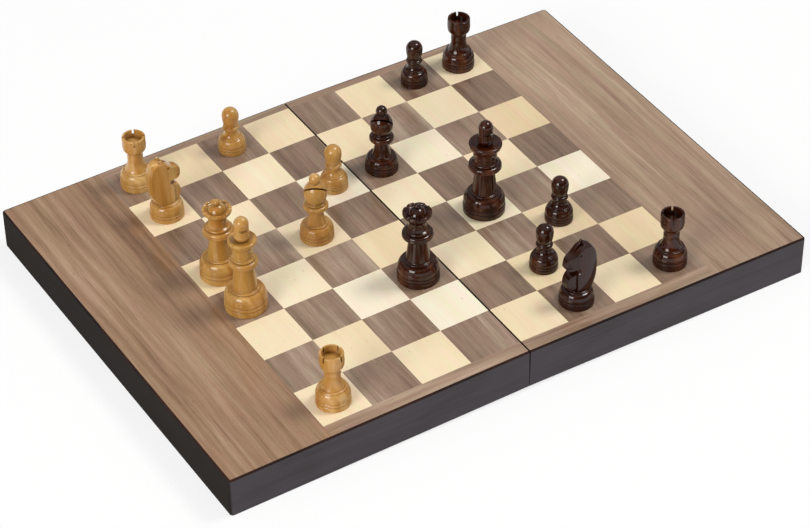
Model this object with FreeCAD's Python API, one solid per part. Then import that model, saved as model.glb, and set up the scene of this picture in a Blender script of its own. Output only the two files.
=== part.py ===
"""Folding chess and backgammon board, opened flat, with chess pieces standing on it.

Millimetres. X runs along the open board, Y from the front edge to the back edge, Z up.
The origin is the middle of the board on the table. Both halves are modelled as the right
half, flat, with the hinge axis as origin; the left half is mirrored. Each half then leans
down to the table, because the hinge barrels under the seam hold the middle up.
"""
import FreeCAD
import Part

import math
import os

from FreeCAD import Vector

# Board
square = 32.0
squares_across = 8
outer_column = 31.1
end_border = 64.2
front_border = 10.0
back_border = 6.5
board_thickness = 25.5
wall_thickness = 10.0
panel_thickness = 4.0
veneer_thickness = 0.6
edge_round = 1.2
inlay_corner_round = 0.8
seam_gap = 0.3
rim_gap = 0.3

# Backgammon field
points_per_row = 6
point_length = 105.0
point_gap = 1.2
lining_thickness = 0.6

# Hinges
hinge_length = 30.0
hinge_inset = 52.0
barrel_radius = 2.0
knuckle_count = 5
knuckle_gap = 0.3
barrel_clearance = 0.3
leaf_width = 8.5
leaf_thickness = 1.2
mortise_clearance = 0.1
pin_radius = 1.0
pin_round = 0.3
pin_press_clearance = 0.01
pin_running_clearance = 0.05

# Hinge screws
screws_per_leaf = 3
screw_pitch = 10.0
screw_head_radius = 1.9
screw_head_height = 0.9
screw_shank_radius = 0.9
screw_length = 8.0
screw_tip_length = 1.8
screw_slot_width = 0.5
screw_slot_depth = 0.4
screw_clearance = 0.02

# Closing magnets
magnet_radius = 4.0
magnet_thickness = 3.0
magnet_spacing = 140.0
magnet_clearance = 0.02

# Chess pieces
king_height = 63.8
king_radius = 12.5
queen_height = 53.6
queen_radius = 12.4
bishop_height = 45.5
bishop_radius = 10.1
knight_height = 42.0
knight_radius = 10.2
rook_height = 35.4
rook_radius = 10.05
pawn_height = 30.4
pawn_radius = 8.4

king_base_share = 0.235
queen_base_share = 0.276
bishop_base_share = 0.249
knight_base_share = 0.276
rook_base_share = 0.352
pawn_base_share = 0.359

king_foot_share = 0.58
queen_foot_share = 0.57
bishop_foot_share = 0.56
knight_foot_share = 0.63
rook_foot_share = 0.66
pawn_foot_share = 0.64

cross_notch_radius = 1.0
cross_notch_depth = 1.5
coronet_notches = 8
coronet_notch_radius = 1.6
coronet_notch_depth = 1.2
mitre_slit_width = 1.0
mitre_slit_angle = 51.0
rook_cup_wall = 1.4
rook_cup_depth = 4.8
rook_slot_width = 1.1
rook_slot_depth = 3.2
eye_radius = 0.8
nostril_radius = 0.5
carving_depth = 0.5
mouth_width = 0.6
ear_spread = 2.2
ear_radius = 1.9
ear_tip_radius = 0.9
forelock_width = 3.0

# Turned profiles: shares of the base radius, shares of a height, and the bulge of the
# stretch that leads to the point as a share of its length (zero is a straight line)
base_profile_shares = (
    (0.97, 0.00, 0.0),
    (1.00, 0.03, 0.2),
    (1.00, 0.22, 0.0),
    (0.965, 0.25, 0.0),
    (0.985, 0.28, 0.0),
    (0.985, 0.38, 0.12),
    (0.95, 0.41, 0.0),
    (0.97, 0.44, 0.0),
    (0.93, 0.70, 0.08),
    (0.80, 0.865, 0.08),
)
foot_profile_shares = (
    (1.17, 0.89, 0.0),
    (1.14, 0.95, 0.35),
    (1.04, 0.96, 0.0),
    (1.00, 1.00, -0.2),
)
king_stem_shares = ((0.445, 0.480, 0.0),)
king_head_shares = (
    (0.70, 0.486, 0.0),
    (0.775, 0.509, 0.3),
    (0.69, 0.542, 0.2),
    (0.61, 0.547, 0.0),
    (0.585, 0.570, 0.4),
    (0.545, 0.577, 0.0),
    (0.56, 0.617, -0.05),
    (0.75, 0.724, -0.10),
    (0.775, 0.746, 0.05),
    (0.735, 0.766, 0.25),
    (0.62, 0.766, 0.10),
)
king_knob_shares = (
    (0.27, 0.758, -0.06),
    (0.345, 0.815, 0.15),
    (0.335, 0.870, 0.0),
)
king_ball_share = 0.34
slim_head_share = 0.85
cross_notch_share = 0.885
queen_profile_shares = (
    (0.40, 0.560, 0.0),
    (0.66, 0.567, 0.0),
    (0.72, 0.594, 0.3),
    (0.64, 0.634, 0.2),
    (0.55, 0.640, 0.0),
    (0.53, 0.668, 0.4),
    (0.47, 0.676, 0.0),
    (0.425, 0.733, -0.05),
    (0.66, 0.848, -0.12),
    (0.68, 0.874, 0.10),
    (0.635, 0.893, 0.25),
    (0.56, 0.889, 0.10),
    (0.44, 0.868, -0.10),
)
queen_ball_share = 0.16
queen_dome_bulge_share = 0.12
bishop_profile_shares = (
    (0.415, 0.470, -0.05),
    (0.655, 0.476, 0.0),
    (0.72, 0.500, 0.3),
    (0.64, 0.540, 0.2),
    (0.55, 0.546, 0.0),
    (0.53, 0.572, 0.4),
    (0.48, 0.581, 0.0),
    (0.67, 0.702, 0.10),
)
bishop_ball_share = 0.34
mitre_bulge_share = 0.13
mitre_slit_share = 0.722
rook_profile_shares = (
    (0.475, 0.590, -0.09),
    (0.465, 0.665, -0.02),
    (0.60, 0.735, -0.10),
    (0.685, 0.790, 0.12),
    (0.695, 0.900, 0.04),
    (0.685, 0.985, 0.02),
    (0.660, 1.000, 0.2),
)
pawn_profile_shares = (
    (0.46, 0.500, -0.14),
    (0.535, 0.528, 0.0),
    (0.565, 0.560, 0.4),
    (0.51, 0.590, 0.2),
    (0.485, 0.606, -0.2),
)
pawn_ball_share = 0.61
pawn_cheek_bulge_share = 0.04
ball_neck_share = 0.72
ball_sink_share = 0.60

# Knight's head, seen from its right side, all the way round: shares of the base radius
# forward of the axis and shares of the height
knight_outline_shares = (
    (-0.60, 0.24), (-0.85, 0.33), (-1.00, 0.44), (-1.05, 0.58), (-1.03, 0.72), (-0.93, 0.85),
    (-0.70, 0.935), (-0.38, 0.96), (-0.06, 0.945), (0.22, 0.89), (0.48, 0.835), (0.76, 0.81),
    (0.93, 0.76), (0.93, 0.67), (0.78, 0.625), (0.44, 0.62), (0.19, 0.605), (0.26, 0.57),
    (0.56, 0.535), (0.80, 0.475), (0.88, 0.39), (0.78, 0.30), (0.52, 0.24), (0.00, 0.22),
)
# How its edges are rounded: shares of its half thickness, and how far its outline draws in
# there as shares of the base radius
knight_edge_shares = (
    (-1.0, 0.22), (-0.8, 0.115), (-0.5, 0.04), (0.0, 0.0), (0.5, 0.04), (0.8, 0.115), (1.0, 0.22),
)
knight_thickness_share = 0.64
# Block that its sides are cut from: height, then middle, half length and half width
knight_block_shares = (
    (0.20, 0.00, 1.30, 0.59), (0.45, -0.10, 1.30, 0.55), (0.65, -0.20, 1.25, 0.49),
    (0.85, -0.25, 1.20, 0.42), (1.02, -0.25, 1.15, 0.35),
)
# Where the sides stop short, and the rounder chest that shows there, in the same order
knight_recess_shares = ((0.31, 0.22), (0.31, 0.615), (1.20, 0.615), (1.20, 0.22))
knight_chest_shares = ((0.18, 0.00, 1.06, 0.46), (0.64, 0.00, 1.06, 0.38))
knight_forelock_shares = ((-0.26, 0.865), (1.00, 1.00))
knight_eye_shares = (0.10, 0.85)
knight_nostril_shares = (0.76, 0.73)
knight_mouth_shares = (0.60, 0.68)
knight_ear_shares = ((-0.14, 0.875), (-0.27, 0.98))

# Where the pieces stand, in squares from the left front corner of the chess field, and
# how far each is turned
piece_place_shares = (
    ("light_rook_front", "rook", (0.50, 0.46), 20.0),
    ("light_rook_back", "rook", (0.50, 7.54), 66.0),
    ("light_knight", "knight", (0.54, 6.46), 0.0),
    ("light_bishop", "bishop", (2.52, 4.42), 239.0),
    ("light_queen", "queen", (0.55, 4.46), 0.0),
    ("light_king", "slim_king", (0.49, 3.45), 0.0),
    ("light_pawn_left", "pawn", (2.49, 7.50), 0.0),
    ("light_pawn_right", "pawn", (3.515, 5.485), 0.0),
    ("dark_rook_front", "rook", (7.48, 0.435), 58.0),
    ("dark_rook_back", "rook", (7.49, 7.50), 68.0),
    ("dark_knight", "knight", (5.44, 0.41), 180.0),
    ("dark_bishop", "bishop", (4.52, 5.49), 233.0),
    ("dark_queen", "queen", (3.46, 2.46), 18.0),
    ("dark_king", "king", (5.475, 3.465), 0.0),
    ("dark_pawn_back", "pawn", (6.465, 7.47), 0.0),
    ("dark_pawn_middle", "pawn", (6.48, 2.51), 0.0),
    ("dark_pawn_front", "pawn", (5.48, 1.51), 0.0),
)

overrun = 1.0

# Worked out from the sizes above
columns_per_half = squares_across // 2
field_depth = squares_across * square
depth = field_depth + front_border + back_border
front = -depth / 2
back = depth / 2
field_front = front + front_border
seam_face = seam_gap / 2
field_end = seam_face + (columns_per_half - 1) * square + outer_column
end_face = field_end + end_border
rim = rim_gap / 2
top = rim + board_thickness
veneer_base = top - veneer_thickness
panel_base = veneer_base - panel_thickness
wall_height = panel_base - rim
lining_base = panel_base - lining_thickness
tray_start = seam_face + wall_thickness
tray_end = end_face - wall_thickness
tray_front = front + wall_thickness
tray_back = back - wall_thickness
corner_round = edge_round + inlay_corner_round
knuckle_length = hinge_length / knuckle_count
hinge_centres = (front + hinge_inset, back - hinge_inset)
screw_out = (barrel_radius + barrel_clearance + leaf_width) / 2
magnet_out = end_face - wall_thickness / 2
lean = math.degrees(math.asin((barrel_radius + rim) / end_face))

seam_axis = Vector(0, 1, 0)
upward = Vector(0, 0, 1)
centre = Vector(0, 0, 0)


def save(name, shape):
    """Write one node's solid, or group of solids, to its own file."""
    shape.exportStep(os.path.join("parts", name + ".step"))


def laid(shape, side):
    """Bring a piece of a flat half into place on the table."""
    placed = shape.copy()
    if side == "left":
        placed.rotate(centre, seam_axis, -lean)
    else:
        placed.rotate(centre, seam_axis, lean)
    placed.translate(Vector(0, 0, barrel_radius))
    return placed


def on_half(shape, side):
    """Bring a piece that was modelled for the right half to its own half."""
    if side == "left":
        return laid(shape.mirror(centre, Vector(1, 0, 0)), side)
    return laid(shape, side)


def prism(corners, base, height):
    """Raise a straight-sided outline, given as (x, y) corners, from a level."""
    points = [Vector(x, y, base) for x, y in corners]
    return Part.Face(Part.makePolygon(points + points[:1])).extrude(Vector(0, 0, height))


def block(x_start, x_end, y_start, y_end, z_start, z_end):
    """Box between two levels on each axis."""
    size = (x_end - x_start, y_end - y_start, z_end - z_start)
    return Part.makeBox(*size, Vector(x_start, y_start, z_start))


def half_plan(inset, base, height):
    """Plan of one half, drawn in by an inset on its three outer sides, with rounded outer corners."""
    radius = corner_round - inset
    slack = radius * (1 - math.sqrt(0.5))
    near = front + inset
    far = back - inset
    outer = end_face - inset
    corners = [
        Vector(seam_face, near, base),
        Vector(outer - radius, near, base),
        Vector(outer, near + radius, base),
        Vector(outer, far - radius, base),
        Vector(outer - radius, far, base),
        Vector(seam_face, far, base),
    ]
    near_bend = Vector(outer - slack, near + slack, base)
    far_bend = Vector(outer - slack, far - slack, base)
    edges = [
        Part.LineSegment(corners[0], corners[1]).toShape(),
        Part.Arc(corners[1], near_bend, corners[2]).toShape(),
        Part.LineSegment(corners[2], corners[3]).toShape(),
        Part.Arc(corners[3], far_bend, corners[4]).toShape(),
        Part.LineSegment(corners[4], corners[5]).toShape(),
        Part.LineSegment(corners[5], corners[0]).toShape(),
    ]
    return Part.Face(Part.Wire(edges)).extrude(Vector(0, 0, height))


def turned(profile):
    """Spin a half profile of (radius, height, bulge) points, from the axis to the axis."""
    edges = []
    here = Vector(0, 0, profile[0][1])
    for radius, height, bulge in profile:
        there = Vector(radius, 0, height)
        run = there - here
        if bulge:
            middle = (here + there) / 2 + Vector(run.z, 0, -run.x) * bulge
            edges.append(Part.Arc(here, middle, there).toShape())
        else:
            edges.append(Part.LineSegment(here, there).toShape())
        here = there
    if here.x > 0:
        tip = Vector(0, 0, here.z)
        edges.append(Part.LineSegment(here, tip).toShape())
        here = tip
    edges.append(Part.LineSegment(here, Vector(0, 0, profile[0][1])).toShape())
    return Part.Face(Part.Wire(edges)).revolve(centre, upward, 360)


def piece_profile(shares, radius, height, base_share, foot_share):
    """Points of a chess piece: the turned base that all share, then its own stem and head."""
    base = base_share * height
    foot = foot_share * radius
    points = [(r * radius, z * base, bulge) for r, z, bulge in base_profile_shares]
    points += [(r * foot, z * base, bulge) for r, z, bulge in foot_profile_shares]
    return points + [(r * radius, z * height, bulge) for r, z, bulge in shares]


def round_headed(points, ball_radius, height, bulge):
    """Turned body that ends in a half ball: the last stretch runs to the ball's widest ring."""
    ball_height = height - ball_radius
    body = turned(points + [(ball_radius, ball_height, bulge)])
    return body.fuse(Part.makeSphere(ball_radius, Vector(0, 0, ball_height)))


def crowned(points, ball_radius, height, bulge):
    """Turned body that ends in a ball: the last stretch runs into the ball's underside."""
    ball_height = height - ball_radius
    neck = (ball_neck_share * ball_radius, ball_height - ball_sink_share * ball_radius, bulge)
    return turned(points + [neck]).fuse(Part.makeSphere(ball_radius, Vector(0, 0, ball_height)))


# The two trays

def end_wall():
    """Outer end of the tray, mitred, with blind holes for the magnets."""
    corners = ((end_face, front), (end_face, back), (tray_end, tray_back), (tray_end, tray_front))
    wall = prism(corners, rim, wall_height).common(half_plan(0, rim, wall_height))
    for hole in magnet_discs(magnet_clearance, overrun):
        wall = wall.cut(hole)
    return wall


def long_wall(outer, inner):
    """Front or back of the tray, from the seam to the mitre."""
    corners = ((seam_face, outer), (end_face, outer), (tray_end, inner), (seam_face, inner))
    return prism(corners, rim, wall_height).common(half_plan(0, rim, wall_height))


def seam_rail():
    """Inner end of the tray, with the hinge leaves let into its rim."""
    rail = block(seam_face, tray_start, tray_front, tray_back, rim, panel_base)
    for middle in hinge_centres:
        start = middle - hinge_length / 2
        mortise = block(
            0, leaf_width + mortise_clearance,
            start - mortise_clearance, start + hinge_length + mortise_clearance,
            rim - overrun, rim + leaf_thickness,
        )
        notch = Part.makeCylinder(
            barrel_radius + barrel_clearance, hinge_length + 2 * knuckle_gap,
            Vector(0, start - knuckle_gap, 0), seam_axis,
        )
        rail = rail.cut(mortise).cut(notch)
        for place in screw_places(middle):
            rail = rail.cut(screw_blank(place, screw_clearance))
    return rail


def top_panel():
    """Lid of the tray: rounded over on its outer edges, recessed for the veneers."""
    blank = half_plan(0, panel_base, panel_thickness + veneer_thickness)
    outer_edges = []
    for edge in blank.Edges:
        box = edge.BoundBox
        on_top = box.ZMin > veneer_base
        if on_top and box.XMax > seam_face + edge_round:
            outer_edges.append(edge)
    rounded = blank.makeFillet(edge_round, outer_edges)
    return rounded.cut(half_plan(edge_round, veneer_base, veneer_thickness + overrun))


def veneer(x_start, x_end, y_start, y_end):
    """Part of the veneered face between two lines each way."""
    sheet = half_plan(edge_round, veneer_base, veneer_thickness)
    return sheet.common(block(x_start, x_end, y_start, y_end, veneer_base, top))


def chess_squares(side, colour):
    """The veneer squares of one colour on one half."""
    pieces = []
    for step in range(columns_per_half):
        column = columns_per_half + step if side == "right" else columns_per_half - 1 - step
        width = min(square, field_end - seam_face - step * square)
        for row in range(squares_across):
            light = (column + row) % 2 == 0
            if light == (colour == "light"):
                corner = Vector(seam_face + step * square, field_front + row * square, veneer_base)
                pieces.append(Part.makeBox(width, square, veneer_thickness, corner))
    return Part.makeCompound(pieces)


def field_points():
    """The inlaid backgammon points of one tray, as (shape, is light) pairs."""
    pitch = (tray_end - tray_start) / points_per_row
    points = []
    for step in range(points_per_row):
        left = tray_start + step * pitch + point_gap / 2
        right = left + pitch - point_gap
        middle = (left + right) / 2
        for wall, tip, light_parity in (
            (tray_front, tray_front + point_length, 0),
            (tray_back, tray_back - point_length, 1),
        ):
            corners = ((left, wall), (right, wall), (middle, tip))
            points.append((prism(corners, lining_base, lining_thickness), step % 2 == light_parity))
    return points


def field_lining(points):
    """Sheet of the backgammon field, cut out for its points."""
    sheet = block(tray_start, tray_end, tray_front, tray_back, lining_base, panel_base)
    return sheet.cut([shape for shape, light in points])


def magnet_discs(clearance, below):
    """The two discs in the rim of an end wall, or the holes for them."""
    radius = magnet_radius + clearance
    spots = (-magnet_spacing / 2, magnet_spacing / 2)
    return [
        Part.makeCylinder(radius, magnet_thickness + below, Vector(magnet_out, y, rim - below), upward)
        for y in spots
    ]


# Hinges

def screw_places(middle):
    """Heads of the screws of one leaf."""
    first = middle - (screws_per_leaf - 1) * screw_pitch / 2
    return [Vector(screw_out, first + step * screw_pitch, rim) for step in range(screws_per_leaf)]


def screw_blank(place, clearance):
    """Countersunk screw driven upward from its head, or the hole for it."""
    head = screw_head_radius + clearance
    shank = screw_shank_radius + clearance
    blank = turned((
        (head, 0, 0),
        (shank, screw_head_height, 0),
        (shank, screw_length - screw_tip_length, 0),
        (0, screw_length, 0),
    ))
    blank.translate(place)
    return blank


def hinge_screws():
    """The slotted screws of both leaves of one half."""
    screws = []
    for middle in hinge_centres:
        for place in screw_places(middle):
            slot = block(
                place.x - screw_head_radius, place.x + screw_head_radius,
                place.y - screw_slot_width / 2, place.y + screw_slot_width / 2,
                rim - overrun, rim + screw_slot_depth,
            )
            screws.append(screw_blank(place, 0).cut(slot))
    return Part.makeCompound(screws)


def hinge_leaf(middle, first_knuckle, bore_radius):
    """Leaf of a butt hinge: flush plate, every other knuckle, bore and countersunk holes."""
    start = middle - hinge_length / 2
    leaf = block(0, leaf_width, start, start + hinge_length, rim, rim + leaf_thickness)
    for step in range(knuckle_count):
        begin = start + step * knuckle_length
        if step % 2 == first_knuckle:
            knuckle = Part.makeCylinder(
                barrel_radius, knuckle_length - knuckle_gap,
                Vector(0, begin + knuckle_gap / 2, 0), seam_axis,
            )
            leaf = leaf.fuse(knuckle)
        else:
            clearing = Part.makeCylinder(
                barrel_radius + barrel_clearance, knuckle_length + knuckle_gap,
                Vector(0, begin - knuckle_gap / 2, 0), seam_axis,
            )
            leaf = leaf.cut(clearing)
    trim = block(
        -overrun, barrel_radius + barrel_clearance,
        start, start + knuckle_gap / 2, rim - overrun, top,
    )
    leaf = leaf.cut(trim)
    trim.translate(Vector(0, hinge_length - knuckle_gap / 2, 0))
    leaf = leaf.cut(trim)
    bore_start = Vector(0, start - overrun, 0)
    bore = Part.makeCylinder(bore_radius, hinge_length + 2 * overrun, bore_start, seam_axis)
    leaf = leaf.cut(bore)
    for place in screw_places(middle):
        leaf = leaf.cut(screw_blank(place, screw_clearance))
    return leaf.removeSplitter()


def hinge_pin(middle):
    """Pin through all the knuckles of one hinge."""
    start = middle - hinge_length / 2
    pin = Part.makeCylinder(pin_radius, hinge_length, Vector(0, start, 0), seam_axis)
    rims = [edge for edge in pin.Edges if edge.Curve.TypeId == "Part::GeomCircle"]
    return pin.makeFillet(pin_round, rims)


# Chess pieces

def king(head_share):
    """Turned body with a dished crown, and a knob that two notches make into a cross."""
    head_shares = tuple((r * head_share, z, bulge) for r, z, bulge in king_head_shares)
    points = piece_profile(
        king_stem_shares + head_shares + king_knob_shares,
        king_radius, king_height, king_base_share, king_foot_share,
    )
    knob_radius = king_ball_share * king_radius
    body = round_headed(points, knob_radius, king_height, 0)
    out = knob_radius - cross_notch_depth + cross_notch_radius
    for side in (-1, 1):
        start = Vector(-king_radius, side * out, cross_notch_share * king_height)
        notch = Part.makeCylinder(cross_notch_radius, 2 * king_radius, start, Vector(1, 0, 0))
        body = body.cut(notch)
    return body.removeSplitter()


def queen():
    """Turned body with a scalloped coronet, dished round a dome with a ball on top."""
    points = piece_profile(
        queen_profile_shares, queen_radius, queen_height, queen_base_share, queen_foot_share,
    )
    body = crowned(points, queen_ball_share * queen_radius, queen_height, queen_dome_bulge_share)
    dish_radius = points[-1][0]
    rim_height = points[-3][1]
    inner = Vector(dish_radius, 0, rim_height - coronet_notch_depth + coronet_notch_radius)
    for step in range(coronet_notches):
        notch = Part.makeCylinder(coronet_notch_radius, queen_radius, inner, Vector(1, 0, 0))
        notch.rotate(centre, upward, 360 * step / coronet_notches)
        body = body.cut(notch)
    return body.removeSplitter()


def bishop():
    """Turned body whose mitre has a slit, sawn down towards the axis, and a ball on top."""
    points = piece_profile(
        bishop_profile_shares, bishop_radius, bishop_height, bishop_base_share, bishop_foot_share,
    )
    body = crowned(points, bishop_ball_share * bishop_radius, bishop_height, mitre_bulge_share)
    reach = 2 * bishop_radius
    slit = block(0, reach, -reach, reach, -mitre_slit_width / 2, mitre_slit_width / 2)
    slit.rotate(centre, seam_axis, -mitre_slit_angle)
    slit.translate(Vector(0, 0, mitre_slit_share * bishop_height))
    return body.cut(slit).removeSplitter()


def rook():
    """Turned body with a hollow cup whose wall is sawn across twice."""
    points = piece_profile(
        rook_profile_shares, rook_radius, rook_height, rook_base_share, rook_foot_share,
    )
    body = turned(points)
    outer = rook_profile_shares[-2][0] * rook_radius
    floor = rook_height - rook_cup_depth
    cup = Part.makeCylinder(outer - rook_cup_wall, rook_cup_depth + overrun, Vector(0, 0, floor))
    body = body.cut(cup)
    for turn in (0, 90):
        slot = block(
            -2 * outer, 2 * outer, -rook_slot_width / 2, rook_slot_width / 2,
            rook_height - rook_slot_depth, rook_height + overrun,
        )
        slot.rotate(centre, upward, turn)
        body = body.cut(slot)
    return body


def pawn():
    """Turned body with a round head."""
    points = piece_profile(
        pawn_profile_shares, pawn_radius, pawn_height, pawn_base_share, pawn_foot_share,
    )
    body = round_headed(points, pawn_ball_share * pawn_radius, pawn_height, pawn_cheek_bulge_share)
    return body.removeSplitter()


def knight_points(shares):
    """Points of the knight's side view."""
    return [Vector(x * knight_radius, 0, z * knight_height) for x, z in shares]


def drawn_in(points, inset, side):
    """Closed curve inside the side view by an inset, at a distance from the middle of the horse."""
    shifted = []
    for here in range(len(points)):
        run = points[(here + 1) % len(points)] - points[here - 1]
        inward = Vector(run.z, 0, -run.x).normalize()
        shifted.append(points[here] + inward * inset + Vector(0, side, 0))
    curve = Part.BSplineCurve()
    curve.interpolate(Points=shifted, PeriodicFlag=True)
    return Part.Wire([curve.toShape()])


def knight_slab():
    """The side view with some thickness, its edges rounded over."""
    points = knight_points(knight_outline_shares)
    half = knight_thickness_share * knight_radius
    rings = [
        drawn_in(points, inset * knight_radius, side * half) for side, inset in knight_edge_shares
    ]
    return Part.makeLoft(rings, True)


def knight_block(shares, sink):
    """Tapered block that gives the knight its sides or its chest, sunk in by a depth."""
    rings = []
    for height_share, middle_share, length_share, width_share in shares:
        middle = Vector(middle_share * knight_radius, 0, height_share * knight_height)
        ring = Part.Ellipse(middle, length_share * knight_radius, width_share * knight_radius - sink)
        rings.append(Part.Wire([ring.toShape()]))
    return Part.makeLoft(rings, True)


def through(face):
    """A side-view face pushed through the whole thickness of the knight."""
    thick = 2 * knight_radius
    slab = face.extrude(Vector(0, thick, 0))
    slab.translate(Vector(0, -thick / 2, 0))
    return slab


def knight_head():
    """Neck and head of the horse: slab and block together, then the carving."""
    head = knight_slab().common(knight_block(knight_block_shares, 0))
    recess_corners = knight_points(knight_recess_shares)
    recess = through(Part.Face(Part.makePolygon(recess_corners + recess_corners[:1])))
    head = head.cut(recess.cut(knight_block(knight_chest_shares, 0)))
    return carved_details(head)


def carved_details(head):
    """Ears and the groove between them, eyes, nostrils and mouth."""
    reach = 2 * knight_radius
    ear_foot, ear_tip = knight_points(knight_ear_shares)
    rise = ear_tip - ear_foot
    spread = Vector(0, ear_spread, 0)
    for side in (-1, 1):
        foot = ear_foot + spread * side
        head = head.fuse(Part.makeCone(ear_radius, ear_tip_radius, rise.Length, foot, rise))
        head = head.fuse(Part.makeSphere(ear_tip_radius, foot + rise))
    lowest, highest = knight_points(knight_forelock_shares)
    corners = [
        lowest,
        Vector(lowest.x, -forelock_width / 2, highest.z),
        Vector(lowest.x, forelock_width / 2, highest.z),
    ]
    forelock = Part.Face(Part.makePolygon(corners + corners[:1]))
    head = head.cut(forelock.extrude(Vector(highest.x - lowest.x, 0, 0)))
    floor = knight_block(knight_block_shares, carving_depth)
    for shares, radius in ((knight_eye_shares, eye_radius), (knight_nostril_shares, nostril_radius)):
        spot = knight_points([shares])[0] - Vector(0, reach, 0)
        drilling = Part.makeCylinder(radius, 2 * reach, spot, seam_axis)
        head = head.cut(drilling.cut(floor))
    mouth_end = knight_points([knight_mouth_shares])[0]
    mouth = block(
        mouth_end.x, reach, -reach, reach,
        mouth_end.z - mouth_width / 2, mouth_end.z + mouth_width / 2,
    )
    return head.cut(mouth)


def knight():
    """Carved horse's head on a turned base."""
    points = piece_profile((), knight_radius, knight_height, knight_base_share, knight_foot_share)
    return turned(points).fuse(knight_head()).removeSplitter()


def stood(shape, spot, turn):
    """Turn a chess piece and stand it on its square of the flat board."""
    column, row = spot
    placed = shape.copy()
    placed.rotate(centre, upward, turn)
    away_from_seam = (column - columns_per_half) * square
    gap = seam_face if column > columns_per_half else -seam_face
    placed.translate(Vector(away_from_seam + gap, field_front + row * square, top))
    return placed


def make_board():
    """All the pieces of both halves and the pins that join them."""
    points = field_points()
    veneers = {
        "end_border": veneer(field_end, end_face, front, back),
        "front_strip": veneer(seam_face, field_end, front, field_front),
        "back_strip": veneer(seam_face, field_end, field_front + field_depth, back),
    }
    shared = {
        "end_wall": end_wall(),
        "front_wall": long_wall(front, tray_front),
        "back_wall": long_wall(back, tray_back),
        "seam_rail": seam_rail(),
        "top_panel": top_panel(),
        "field_lining": field_lining(points),
        "hinge_screws": hinge_screws(),
        "magnets": Part.makeCompound(magnet_discs(0, 0)),
        **veneers,
    }
    bores = {
        "left": (0, pin_radius + pin_press_clearance),
        "right": (1, pin_radius + pin_running_clearance),
    }
    for side, (first_knuckle, bore_radius) in bores.items():
        for name, shape in shared.items():
            save(side + "_" + name, on_half(shape, side))
        for colour in ("light", "dark"):
            wanted = (colour == "light") == (side == "left")
            chosen = Part.makeCompound([shape for shape, light in points if light == wanted])
            save(side + "_" + colour + "_points", on_half(chosen, side))
            save(side + "_" + colour + "_squares", on_half(chess_squares(side, colour), side))
        for place, middle in zip(("front", "back"), hinge_centres):
            leaf = hinge_leaf(middle, first_knuckle, bore_radius)
            save(side + "_" + place + "_hinge_leaf", on_half(leaf, side))
    for place, middle in zip(("front", "back"), hinge_centres):
        save(place + "_hinge_pin", laid(hinge_pin(middle), "left"))


def make_chess_pieces():
    """Every chess piece, on the half that it stands on."""
    shapes = {
        "king": king(1),
        "slim_king": king(slim_head_share),
        "queen": queen(),
        "bishop": bishop(),
        "knight": knight(),
        "rook": rook(),
        "pawn": pawn(),
    }
    for name, kind, spot, turn in piece_place_shares:
        side = "left" if spot[0] < columns_per_half else "right"
        save(name, laid(stood(shapes[kind], spot, turn), side))


os.makedirs("parts", exist_ok=True)
make_board()
make_chess_pieces()
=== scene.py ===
import math
from collections import namedtuple

import bpy
from mathutils import Matrix, Vector


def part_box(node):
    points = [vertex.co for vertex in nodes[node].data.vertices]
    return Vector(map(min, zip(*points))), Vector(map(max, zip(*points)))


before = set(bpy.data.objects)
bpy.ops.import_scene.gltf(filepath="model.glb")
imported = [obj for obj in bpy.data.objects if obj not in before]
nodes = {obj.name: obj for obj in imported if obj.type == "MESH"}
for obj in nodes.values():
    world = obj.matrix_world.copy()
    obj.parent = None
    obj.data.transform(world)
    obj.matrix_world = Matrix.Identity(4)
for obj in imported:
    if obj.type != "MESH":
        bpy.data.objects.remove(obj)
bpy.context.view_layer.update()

MM_PER_METRE = 1000.0
WHITE = (1.0, 1.0, 1.0)

# Places of the colour sockets in a mix node, which has sockets for other kinds of value too
MIX_FACTOR = 0
MIX_FIRST = 6
MIX_SECOND = 7
MIX_RESULT = 2

# Chess field, measured on the squares of the right half, in metres
SQUARES_DEEP = 8
field_low, field_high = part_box("right_dark_squares")
SQUARE = (field_high.y - field_low.y) / SQUARES_DEEP
FIELD_FRONT = field_low.y
SEAM_OFFSET = field_low.x

# In the values below, edges are where a noise starts and ends to show, a gloss is the least and greatest
# roughness, a coat is its weight and haze, and a relief is its depth in metres and its strength

# Tones of each wood from its darkest to its palest grain, and where they lie in the range of the grain
BROWN_WALNUT = (106, 75, 52), (145, 112, 84), (163, 131, 103), (186, 157, 130)
GREY_WALNUT = (130, 101, 81), (158, 130, 107), (174, 147, 123), (198, 173, 149)
STRIP_WALNUT = (110, 84, 66), (148, 121, 99), (168, 141, 118), (194, 168, 145)
SQUARE_WALNUT = (98, 75, 60), (134, 109, 90), (152, 127, 107), (182, 160, 140)
MAPLE = (226, 200, 158), (243, 222, 184), (249, 233, 199), (253, 244, 222)
FIELD_WOOD = (108, 64, 39), (144, 90, 57), (162, 106, 69), (188, 132, 92)
BOXWOOD = (165, 110, 40), (186, 136, 66), (200, 153, 86), (224, 184, 126)
STAINED_WOOD = (32, 8, 2), (47, 17, 5), (61, 25, 8), (94, 50, 21)
VENEER_STOPS = 0.0, 0.35, 0.65, 1.0
TURNED_STOPS = 0.0, 0.4, 0.7, 1.0
PORE_SHADE = 0.5

# Veneer grain: width and length of each kind of mark in millimetres, and the layer of noise it comes from
Grain = namedtuple("Grain", "width length layer detail rough", defaults=(2.0, 0.5))
DRIFT = Grain(30.0, 110.0, 0.0)
CLOUDS = Grain(22.0, 130.0, 1.0)
BAND_WIDTH = 4.0
BAND_LENGTH = 120.0
BAND_LAYER = 3.0
STREAKS = Grain(1.3, 50.0, 7.0, rough=0.6)
HAIRS = Grain(0.6, 9.0, 11.0, rough=0.6)
LINES = Grain(0.8, 40.0, 17.0, detail=1.0)
HUES = Grain(5.0, 70.0, 23.0)
FLECKS = Grain(1.1, 4.0, 29.0, detail=0.0)

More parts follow.
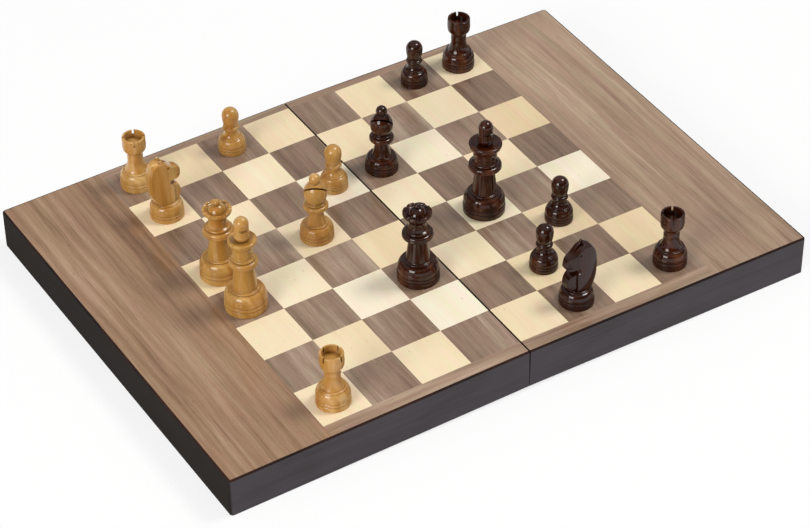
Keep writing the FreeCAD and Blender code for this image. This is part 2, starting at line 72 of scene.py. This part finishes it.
# Veneer: drift of the grain and jump from square to square in millimetres, contrast, marks and finish
DRIFT_REACH = 7.0
JUMP_ACROSS = 700.0
JUMP_ALONG = 900.0
HALF_RANGE = 0.17
LINE_EDGES = 0.64, 0.76
FLECK_EDGES = 0.80, 0.86
FLECK_DEPTH = 0.35
VENEER_TINTS = (0.36, (0.965, 1.0, 0.945)), (0.64, (1.0, 0.95, 0.965))
VENEER_GLOSS = 0.45, 0.58
VENEER_COAT = 0.75, 0.13
VENEER_RELIEF = 0.00003, 0.25

# Painted shade along the seam between the halves: where it starts to fade and ends, in metres, and its
# colour
SEAM_SHADE_EDGES = 0.00044, 0.0006
SEAM_SHADE_COLOUR = (0.012, 0.008, 0.006)

# Lacquered walls: grain sizes in millimetres upwards, along and inwards, tones of the arrises and faces,
# how far a face has to turn to the end or upwards to take them, and finish
LACQUER_LINES = 1.1, 90.0, 1.1
LACQUER_CLOUDS = 18.0, 60.0, 18.0
ARRIS_TONES = (0.35, (24, 14, 12)), (0.65, (56, 33, 26))
LONG_FACE_TONES = (0.30, (47, 41, 45)), (0.70, (75, 68, 74))
# Painted shade: the end faces take a darker copy of the long faces' tones
SHADED_END_TONES = (0.30, (16, 11, 7)), (0.70, (30, 23, 17))
END_TURN = 0.3, 0.9
ARRIS_TURN = 0.1, 0.4
LACQUER_GLOSS = 0.38, 0.50
LACQUER_DULLING = 0.5
LACQUER_RELIEF = 0.00002, 0.2

# Turned wood, in millimetres: grain sizes along x, y and z, how far the rings wander, and the width of the
# log that the pieces are cut from
RING_WANDER = 14.0, 14.0, 70.0
RING_DEPTH = 9.0
RING_HEIGHT = 120.0
TURNED_HAIRS = 0.35, 0.35, 16.0
TURNED_HUES = 9.0, 12.0, 26.0
WANDER_REACH = 11.0
LOG_WIDTH = 400.0

# Turned wood: slant of the rings, difference between pieces, tints and pores, then the painted shade in
# grooves, whose sides reach over a point by so many metres, and gloss
RING_SLANT = 0.6
PIECE_SWING = 0.18
TURNED_TINTS = (0.36, (0.955, 1.0, 0.97)), (0.64, (1.0, 0.945, 0.92))
PORE_EDGES = 0.60, 0.74
SHADE_REACH = 0.003
SHADE_EDGES = 0.45, 0.95
SHADE_DEPTH = 0.7
SHADE_SAMPLES = 8
TURNED_GLOSS = 0.40, 0.52
TURNED_RELIEF = 0.00003, 0.25

# Metal: marks per millimetre along x, y and z, where tarnish starts and ends, and spread of the roughness
TARNISH = 0.22, 0.22, 0.22
SCRATCHES = 4.0, 0.25, 4.0
TARNISH_EDGES = 0.35, 0.62
SMOOTHER = 0.08
ROUGHER = 0.14
METAL_RELIEF = 0.00002, 0.3

# Middle part of the range of a smooth noise, which few values leave
MIDDLE = 0.3, 0.7

# Floor: half its side and how far it lies below the board, in metres, its speckle, and how solid it looks
FLOOR_REACH = 6.0
FLOOR_DROP = 0.0002
SPECKLES_PER_METRE = 40.0
SPECKLE_TONES = (0.3, (0.945, 0.945, 0.945)), (0.7, (0.955, 0.955, 0.955))
SHEER_FLOOR = 0.22

# Part of the floor below the open trays, where light reaches their linings, in metres
LINING_INSET = 0.0015
lining_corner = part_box("right_field_lining")[1]
UNDER_HALF_LENGTH = lining_corner.x - LINING_INSET
UNDER_HALF_DEPTH = lining_corner.y - LINING_INSET

# Room: direction of the middle of the ceiling, its tones from edge to middle, how far above the horizon
# white is seen, and how softly it ends there
CEILING_MIDDLE = 0.109, 0.177, 0.978
CEILING_TONES = (0.35, (0.05, 0.05, 0.052)), (0.75, (0.53, 0.53, 0.54))
HORIZON_RISE = 0.12
HORIZON_BLUR = 0.02

# Distance of both lamps from the middle of the board, in metres
LAMP_DISTANCE = 3.0

# Camera of the photograph: place in metres, angles in degrees, lens in pixels and millimetres, and the
# distances in metres between which it sees
CAMERA_PLACE = -0.748764, -1.228010, 1.191340
CAMERA_AZIMUTH = -31.4555
CAMERA_ELEVATION = 39.7494
CAMERA_ROLL = -0.5514
FOCAL_PIXELS = 3174.02
PHOTO_WIDTH_PIXELS = 810
SENSOR_WIDTH = 36.0
NEAREST_SEEN = 0.1
FARTHEST_SEEN = 30.0


def linear(red, green, blue):
    """Linear colour of an 8-bit screen colour."""
    def one(level):
        share = level / 255
        return share / 12.92 if share <= 0.04045 else ((share + 0.055) / 1.055) ** 2.4
    return one(red), one(green), one(blue)


def linear_stops(stops):
    """Stops of a ramp with their 8-bit screen colours made linear."""
    return [(position, linear(*tone)) for position, tone in stops]


class Tree:
    """Short ways to add shader nodes to a node tree."""

    def __init__(self, tree):
        self.tree = tree

    def add(self, kind, inputs=(), **settings):
        """New node; inputs are numbers, colours or output sockets in the order of its input sockets."""
        made = self.tree.nodes.new(kind)
        for key, value in settings.items():
            setattr(made, key, value)
        for index, value in enumerate(inputs):
            self.put(value, made.inputs[index])
        return made

    def put(self, value, socket):
        """Set an input to a constant, or link an output to it."""
        if isinstance(value, bpy.types.NodeSocket):
            self.tree.links.new(value, socket)
        else:
            socket.default_value = value

    def math(self, operation, *values):
        return self.add("ShaderNodeMath", values, operation=operation).outputs[0]

    def vector(self, operation, *values):
        return self.add("ShaderNodeVectorMath", values, operation=operation).outputs

    def xyz(self, x, y, z):
        return self.add("ShaderNodeCombineXYZ", (x, y, z)).outputs[0]

    def apart(self, vector):
        return self.add("ShaderNodeSeparateXYZ", (vector,)).outputs

    def place(self, output="Object"):
        return self.add("ShaderNodeTexCoord").outputs[output]

    def millimetres(self, value):
        return self.math("MULTIPLY", value, MM_PER_METRE)

    def swayed(self, base, chance, amount):
        """Base moved up or down by a value from 0 to 1, by half the amount at most."""
        return self.math("MULTIPLY_ADD", self.math("SUBTRACT", chance, 0.5), amount, base)

    def weighed_sum(self, *terms):
        """Sum of values, each times its share."""
        (value, share), *rest = terms
        total = self.math("MULTIPLY", value, share)
        for value, share in rest:
            total = self.math("MULTIPLY_ADD", value, share, total)
        return total

    def noise(self, vector, detail=2.0, rough=0.5):
        """Smooth noise of about unit grain over the given coordinates, from 0 to 1."""
        made = self.add("ShaderNodeTexNoise", noise_dimensions="3D")
        self.put(vector, made.inputs["Vector"])
        made.inputs["Scale"].default_value = 1.0
        made.inputs["Detail"].default_value = detail
        made.inputs["Roughness"].default_value = rough
        return made.outputs["Fac"]

    def drawn_out(self, places, sizes, detail=2.0, rough=0.5):
        """Noise over three coordinates, with a grain size for each."""
        parts = [self.math("DIVIDE", place, size) for place, size in zip(places, sizes)]
        return self.noise(self.xyz(*parts), detail, rough)

    def remap(self, value, low, high, new_low=0.0, new_high=1.0):
        made = self.add("ShaderNodeMapRange", (value, low, high, new_low, new_high))
        made.clamp = True
        return made.outputs[0]

    def ramp(self, value, stops):
        """Colour ramp over (position, colour) stops."""
        made = self.add("ShaderNodeValToRGB", (value,))
        ramp = made.color_ramp
        while len(ramp.elements) < len(stops):
            ramp.elements.new(0.5)
        for element, (position, colour) in zip(ramp.elements, stops):
            element.position = position
            element.color = (*colour, 1.0)
        return made.outputs[0]

    def mix(self, factor, first, second, blend="MIX"):
        made = self.add("ShaderNodeMix", data_type="RGBA", blend_type=blend)
        self.put(factor, made.inputs[MIX_FACTOR])
        for value, place in ((first, MIX_FIRST), (second, MIX_SECOND)):
            self.put((*value, 1.0) if isinstance(value, tuple) else value, made.inputs[place])
        return made.outputs[MIX_RESULT]

    def seen(self):
        """1 for a ray by which the camera sees a thing, straight, mirrored or through another, or else 0."""
        rays = self.add("ShaderNodeLightPath").outputs
        roundabout = self.math("MAXIMUM", rays["Is Glossy Ray"], rays["Is Transmission Ray"])
        return self.math("MAXIMUM", rays["Is Camera Ray"], roundabout)


class Paint(Tree):
    """One procedural material and the nodes that make it."""

    def __init__(self, name, roughness, specular=0.5):
        self.material = bpy.data.materials.new(name)
        self.material.use_nodes = True
        super().__init__(self.material.node_tree)
        self.shader = self.tree.nodes["Principled BSDF"]
        self.shader.inputs["Roughness"].default_value = roughness
        self.shader.inputs["Specular IOR Level"].default_value = specular

    def colour(self, value):
        self.put(value, self.shader.inputs["Base Color"])

    def gloss(self, value):
        self.put(value, self.shader.inputs["Roughness"])

    def coat(self, weight, haze):
        self.shader.inputs["Coat Weight"].default_value = weight
        self.shader.inputs["Coat Roughness"].default_value = haze

    def relief(self, height, distance, strength):
        made = self.add("ShaderNodeBump")
        made.inputs["Strength"].default_value = strength
        made.inputs["Distance"].default_value = distance
        self.put(height, made.inputs["Height"])
        self.put(made.outputs[0], self.shader.inputs["Normal"])


def grain_space(paint, along, shift=0.0):
    """Millimetre coordinates across and along the grain, which runs along X or Y."""
    x, y = paint.apart(paint.place())[:2]
    across, lengthwise = (x, y) if along == "Y" else (y, x)
    return paint.math("MULTIPLY_ADD", across, MM_PER_METRE, shift), paint.millimetres(lengthwise)


def square_chance(paint, seed):
    """Random value and colour of the square of the chess field that a point lies on."""
    x, y = paint.apart(paint.place())[:2]
    from_seam = paint.math("MULTIPLY_ADD", paint.math("SIGN", x), -SEAM_OFFSET, x)
    column = paint.math("FLOOR", paint.math("DIVIDE", from_seam, SQUARE))
    row = paint.math("FLOOR", paint.math("DIVIDE", paint.math("SUBTRACT", y, FIELD_FRONT), SQUARE))
    cell = paint.add("ShaderNodeTexWhiteNoise", noise_dimensions="3D")
    paint.put(paint.xyz(column, row, seed), cell.inputs["Vector"])
    return cell.outputs["Value"], cell.outputs["Color"]


def pore_and_shade_colour(tones):
    """Colour of pores and cuts, and of the painted shade in grooves: the darkest tone of a wood, deepened.
    """
    return tuple(PORE_SHADE * channel for channel in linear(*tones[0]))


def veneer(name, along, tones, squares=False, shift=0.0, band=BAND_WIDTH,
           contrast=1.0, line=0.4, swing=0.0, reflection_rise=0.0):
    """Flat-sawn veneer under clear lacquer: clouds, bands and sparse dark lines drawn out along the grain.

    Swing is the range of tones from square to square; the last argument is the rise in tone for each
    millimetre along, a painted reflection that is lighter towards the back.
    """
    paint = Paint(name, roughness=0.5, specular=0.2)
    across, lengthwise = grain_space(paint, along, shift)
    if squares:
        chance, jump = square_chance(paint, shift)
        jump_across, jump_along = paint.apart(jump)[:2]
        across = paint.math("MULTIPLY_ADD", jump_across, JUMP_ACROSS, across)
        lengthwise = paint.math("MULTIPLY_ADD", jump_along, JUMP_ALONG, lengthwise)

    def marks(sideways, grain):
        spot = paint.xyz(
            paint.math("DIVIDE", sideways, grain.width),
            paint.math("DIVIDE", lengthwise, grain.length), grain.layer)
        return paint.noise(spot, grain.detail, grain.rough)

    bent = paint.swayed(across, marks(across, DRIFT), DRIFT_REACH)
    streaks = marks(bent, STREAKS)
    hairs = marks(bent, HAIRS)
    bands = marks(bent, Grain(band, BAND_LENGTH, BAND_LAYER))
    blend = paint.weighed_sum((hairs, 0.14), (streaks, 0.18), (marks(bent, CLOUDS), 0.30), (bands, 0.38))
    level = paint.remap(blend, 0.5 - HALF_RANGE / contrast, 0.5 + HALF_RANGE / contrast)
    if squares:
        level = paint.swayed(level, chance, swing)
    # Painted reflection: the tone rises along the grain, lighter towards the back
    if reflection_rise:
        level = paint.math("MULTIPLY_ADD", lengthwise, reflection_rise, level)

    tint = paint.ramp(marks(bent, HUES), VENEER_TINTS)
    wood = paint.ramp(level, linear_stops(zip(VENEER_STOPS, tones)))
    colour = paint.mix(1.0, wood, tint, "MULTIPLY")
    cuts = paint.remap(marks(bent, LINES), *LINE_EDGES, 0.0, line)
    flecks = paint.remap(marks(bent, FLECKS), *FLECK_EDGES, 0.0, FLECK_DEPTH)
    for darkening in (cuts, flecks):
        colour = paint.mix(darkening, colour, pore_and_shade_colour(tones))
    # Painted shade: the veneer turns nearly black right beside the seam, where the gap between the halves is
    # in shade
    from_seam = paint.math("ABSOLUTE", paint.apart(paint.place())[0])
    seam_shade = paint.remap(from_seam, *SEAM_SHADE_EDGES, 1.0, 0.0)
    paint.colour(paint.mix(seam_shade, colour, SEAM_SHADE_COLOUR))
    paint.gloss(paint.remap(streaks, *MIDDLE, *VENEER_GLOSS))
    paint.coat(*VENEER_COAT)
    paint.relief(paint.math("SUBTRACT", hairs, cuts), *VENEER_RELIEF)
    return paint


def lacquer(name, along):
    """Dark stained wood under satin lacquer, duller and darker at the ends and along the arrises; the darker
    end faces are painted shade.
    """
    paint = Paint(name, roughness=0.45, specular=0.25)
    inwards, lengthwise = grain_space(paint, along)
    upwards = paint.millimetres(paint.apart(paint.place())[2])
    places = upwards, lengthwise, inwards
    lines = paint.drawn_out(places, LACQUER_LINES, detail=3.0, rough=0.6)
    clouds = paint.drawn_out(places, LACQUER_CLOUDS, detail=3.0, rough=0.55)
    facing = paint.apart(paint.place("Normal"))
    end = paint.remap(paint.math("ABSOLUTE", facing[0]), *END_TURN)
    arris = paint.remap(facing[2], *ARRIS_TURN)

    blend = paint.weighed_sum((clouds, 0.65), (lines, 0.35))
    # Painted shade: end faces take the darker copy of the long faces' tones; the arrises take darker tones
    # of their own
    long_face = paint.ramp(blend, linear_stops(LONG_FACE_TONES))
    shaded_end_face = paint.ramp(blend, linear_stops(SHADED_END_TONES))
    arris_tone = paint.ramp(clouds, linear_stops(ARRIS_TONES))
    paint.colour(paint.mix(arris, paint.mix(end, long_face, shaded_end_face), arris_tone))
    satin = paint.remap(clouds, *MIDDLE, *LACQUER_GLOSS)
    paint.gloss(paint.math("MULTIPLY_ADD", paint.math("MAXIMUM", end, arris), LACQUER_DULLING, satin))
    paint.relief(lines, *LACQUER_RELIEF)
    return paint


def turned_wood(name, tones, coat, haze, ring, pore):
    """Lacquered wood turned with its grain upright: tree rings cut by the form, painted shade in the
    grooves.

    Ring is the width of a tree ring in millimetres, and pore how dark the pores are.
    """
    paint = Paint(name, roughness=0.45, specular=0.0)
    chance = paint.add("ShaderNodeObjectInfo").outputs["Random"]
    x, y, z = (paint.millimetres(part) for part in paint.apart(paint.place()))
    wander = paint.drawn_out((x, y, z), RING_WANDER)
    log_place = paint.math("ADD", x, paint.math("MULTIPLY", chance, LOG_WIDTH))
    depth = paint.math("MULTIPLY_ADD", y, RING_SLANT, paint.swayed(log_place, wander, WANDER_REACH))
    rings = paint.drawn_out((depth, y, z), (ring, RING_DEPTH, RING_HEIGHT), detail=3.0, rough=0.6)
    hairs = paint.drawn_out((x, y, z), TURNED_HAIRS, rough=0.6)
    blend = paint.weighed_sum((hairs, 0.20), (rings, 0.80))
    level = paint.swayed(paint.remap(blend, *MIDDLE), chance, PIECE_SWING)

    tint = paint.ramp(paint.drawn_out((depth, y, z), TURNED_HUES), TURNED_TINTS)
    wood = paint.ramp(level, linear_stops(zip(TURNED_STOPS, tones)))
    colour = paint.mix(1.0, wood, tint, "MULTIPLY")
    pores = paint.remap(hairs, *PORE_EDGES, 0.0, pore)
    # Painted shade: ambient occlusion darkens grooves and hollows towards the darkest wood colour
    occlusion = paint.add("ShaderNodeAmbientOcclusion", samples=SHADE_SAMPLES, only_local=True)
    occlusion.inputs["Distance"].default_value = SHADE_REACH
    groove_shade = paint.remap(occlusion.outputs["AO"], *SHADE_EDGES, SHADE_DEPTH, 0.0)
    for darkening in (pores, groove_shade):
        colour = paint.mix(darkening, colour, pore_and_shade_colour(tones))
    paint.colour(colour)
    paint.gloss(paint.remap(rings, *MIDDLE, *TURNED_GLOSS))
    paint.coat(coat, haze)
    paint.relief(hairs, *TURNED_RELIEF)
    return paint


def metal(name, pale, dull, roughness):
    """Polished metal with faint tarnish and fine scratches."""
    paint = Paint(name, roughness)
    paint.shader.inputs["Metallic"].default_value = 1.0
    spot = paint.vector("MULTIPLY", paint.place(), (MM_PER_METRE,) * 3)[0]
    tarnish = paint.noise(paint.vector("MULTIPLY", spot, TARNISH)[0], detail=4.0, rough=0.6)
    scratches = paint.noise(paint.vector("MULTIPLY", spot, SCRATCHES)[0], detail=3.0, rough=0.6)
    paint.colour(paint.ramp(tarnish, linear_stops(zip(TARNISH_EDGES, (dull, pale)))))
    paint.gloss(paint.remap(scratches, *MIDDLE, roughness - SMOOTHER, roughness + ROUGHER))
    paint.relief(scratches, *METAL_RELIEF)
    return paint


def paint_nodes(paint, slot, *names):
    """Give a material to whole CAD nodes."""
    for name in names:
        mesh = nodes[name].data
        mesh.materials.clear()
        mesh.materials.append(paint.material)


def paint_board():
    """Materials of the two halves and of the hinge pins between them."""
    border_left = veneer("walnut_border_left", "Y", BROWN_WALNUT)
    # Painted reflection: the right border grows lighter towards the back
    border_right = veneer("walnut_border_right", "Y", GREY_WALNUT, shift=260.0, reflection_rise=0.0009)
    strips = veneer("walnut_strips", "X", STRIP_WALNUT, shift=90.0, contrast=1.1)
    dark_squares = veneer(
        "walnut_squares", "Y", SQUARE_WALNUT, squares=True, shift=31.0, band=6.0,
        contrast=1.1, line=0.25, swing=0.35)
    light_squares = veneer(
        "maple_squares", "Y", MAPLE, squares=True, shift=57.0, band=12.0,
        contrast=0.4, line=0.10, swing=0.8)
    dark_points = veneer("walnut_points", "Y", SQUARE_WALNUT, shift=430.0, line=0.3)
    light_points = veneer("maple_points", "Y", MAPLE, shift=610.0, band=12.0, contrast=0.5, line=0.1)
    lining = veneer("field_veneer", "X", FIELD_WOOD, shift=13.0, contrast=0.9)
    long_lacquer = lacquer("lacquer_long", "X")
    end_lacquer = lacquer("lacquer_end", "Y")
    brass = metal("brass", pale=(226, 190, 112), dull=(176, 134, 66), roughness=0.24)
    nickel = metal("nickel", pale=(206, 204, 200), dull=(150, 148, 146), roughness=0.30)

    paint_nodes(border_left, "walnut", "left_end_border")
    paint_nodes(border_right, "walnut", "right_end_border")
    for side in ("left", "right"):
        paint_nodes(strips, "walnut", side + "_front_strip", side + "_back_strip")
        paint_nodes(dark_squares, "walnut_square", side + "_dark_squares")
        paint_nodes(light_squares, "maple", side + "_light_squares")
        paint_nodes(dark_points, "walnut_square", side + "_dark_points")
        paint_nodes(light_points, "maple", side + "_light_points")
        paint_nodes(long_lacquer, "lacquer", side + "_front_wall", side + "_back_wall", side + "_top_panel")
        paint_nodes(end_lacquer, "lacquer", side + "_end_wall", side + "_seam_rail")
        paint_nodes(lining, "field_veneer", side + "_field_lining")
        paint_nodes(
            brass, "brass", side + "_hinge_screws", side + "_front_hinge_leaf", side + "_back_hinge_leaf")
        paint_nodes(nickel, "magnet", side + "_magnets")
    paint_nodes(brass, "brass", "front_hinge_pin", "back_hinge_pin")


def paint_pieces():
    """Materials of the chess pieces, whose names start with their colour."""
    light_wood = turned_wood("boxwood", BOXWOOD, coat=1.0, haze=0.2, ring=5.0, pore=0.05)
    dark_wood = turned_wood("stained_wood", STAINED_WOOD, coat=0.8, haze=0.12, ring=6.0, pore=0.06)
    for name in nodes:
        if name.startswith("light_"):
            paint_nodes(light_wood, "boxwood", name)
        elif name.startswith("dark_"):
            paint_nodes(dark_wood, "stained_wood", name)


def floor():
    """Pale floor that takes the shadow, sheer enough to show what folds down below it."""
    mesh = bpy.data.meshes.new("floor")
    corners = (-1, -1), (1, -1), (1, 1), (-1, 1)
    mesh.from_pydata([(x * FLOOR_REACH, y * FLOOR_REACH, 0.0) for x, y in corners], [], [(0, 1, 2, 3)])
    made = bpy.data.objects.new("floor", mesh)
    made.location.z = -FLOOR_DROP
    bpy.context.scene.collection.objects.link(made)
    paint = Paint("floor", roughness=0.9, specular=0.0)
    spot = paint.vector("MULTIPLY", paint.place(), (SPECKLES_PER_METRE,) * 3)[0]
    paint.colour(paint.ramp(paint.noise(spot), SPECKLE_TONES))
    seen = paint.seen()
    x, y = paint.apart(paint.place())[:2]
    under = paint.math(
        "MULTIPLY", paint.math("LESS_THAN", paint.math("ABSOLUTE", x), UNDER_HALF_LENGTH),
        paint.math("LESS_THAN", paint.math("ABSOLUTE", y), UNDER_HALF_DEPTH))
    unseen = paint.math("SUBTRACT", 1.0, seen)
    solid = paint.math("MULTIPLY", unseen, paint.math("SUBTRACT", 1.0, under))
    sheer = paint.math("MULTIPLY", seen, SHEER_FLOOR)
    paint.put(paint.math("ADD", sheer, solid), paint.shader.inputs["Alpha"])
    mesh.materials.append(paint.material)


def direction(azimuth, elevation):
    """Unit vector from the board towards an azimuth and an elevation, in degrees."""
    turn = math.radians(azimuth)
    tilt = math.radians(elevation)
    return Vector((math.sin(turn) * math.cos(tilt), -math.cos(turn) * math.cos(tilt), math.sin(tilt)))


def lamp(name, azimuth, elevation, width, height, power, colour):
    """Soft box aimed at the middle of the board."""
    away = direction(azimuth, elevation)
    data = bpy.data.lights.new(name, "AREA")
    data.shape = "RECTANGLE"
    data.size = width
    data.size_y = height
    data.energy = power
    data.color = colour
    made = bpy.data.objects.new(name, data)
    made.location = away * LAMP_DISTANCE
    made.rotation_euler = (-away).to_track_quat("-Z", "Y").to_euler()
    bpy.context.scene.collection.objects.link(made)


def surroundings():
    """White below and at the horizon, and a bright ceiling that reaches further down behind the board."""
    world = bpy.data.worlds.new("room")
    bpy.context.scene.world = world
    world.use_nodes = True
    room = Tree(world.node_tree)
    way = room.place("Generated")
    height = room.vector("DOT_PRODUCT", way, CEILING_MIDDLE)["Value"]
    ceiling = room.ramp(height, CEILING_TONES)
    above_horizon = room.math("MULTIPLY_ADD", room.seen(), -HORIZON_RISE, room.apart(way)[2])
    white_share = room.remap(above_horizon, -HORIZON_BLUR, HORIZON_BLUR, 1.0, 0.0)
    background = room.tree.nodes["Background"]
    room.put(room.mix(white_share, ceiling, WHITE), background.inputs["Color"])
    background.inputs["Strength"].default_value = 1.0


def camera():
    """Camera of the photograph: a long lens from the front left, above the board."""
    turn = math.radians(CAMERA_AZIMUTH)
    roll = math.radians(CAMERA_ROLL)
    back = direction(CAMERA_AZIMUTH, CAMERA_ELEVATION)
    level_right = Vector((math.cos(turn), math.sin(turn), 0.0))
    level_up = back.cross(level_right)
    right = level_right * math.cos(roll) + level_up * math.sin(roll)
    up = level_up * math.cos(roll) - level_right * math.sin(roll)
    data = bpy.data.cameras.new("camera")
    data.sensor_fit = "HORIZONTAL"
    data.sensor_width = SENSOR_WIDTH
    data.lens = SENSOR_WIDTH * FOCAL_PIXELS / PHOTO_WIDTH_PIXELS
    data.clip_start = NEAREST_SEEN
    data.clip_end = FARTHEST_SEEN
    made = bpy.data.objects.new("camera", data)
    turned = Matrix((right, up, back)).transposed()
    made.matrix_world = Matrix.Translation(CAMERA_PLACE) @ turned.to_4x4()
    bpy.context.scene.collection.objects.link(made)
    bpy.context.scene.camera = made


paint_board()
paint_pieces()
floor()
surroundings()
lamp("key", azimuth=75.0, elevation=60.0, width=0.80, height=0.80, power=41.0, colour=(1.0, 0.985, 0.96))
lamp("side", azimuth=-67.5, elevation=27.0, width=1.4, height=1.3, power=58.0, colour=(1.0, 0.99, 0.97))
camera()
bpy.context.scene.view_settings.view_transform = "Standard"
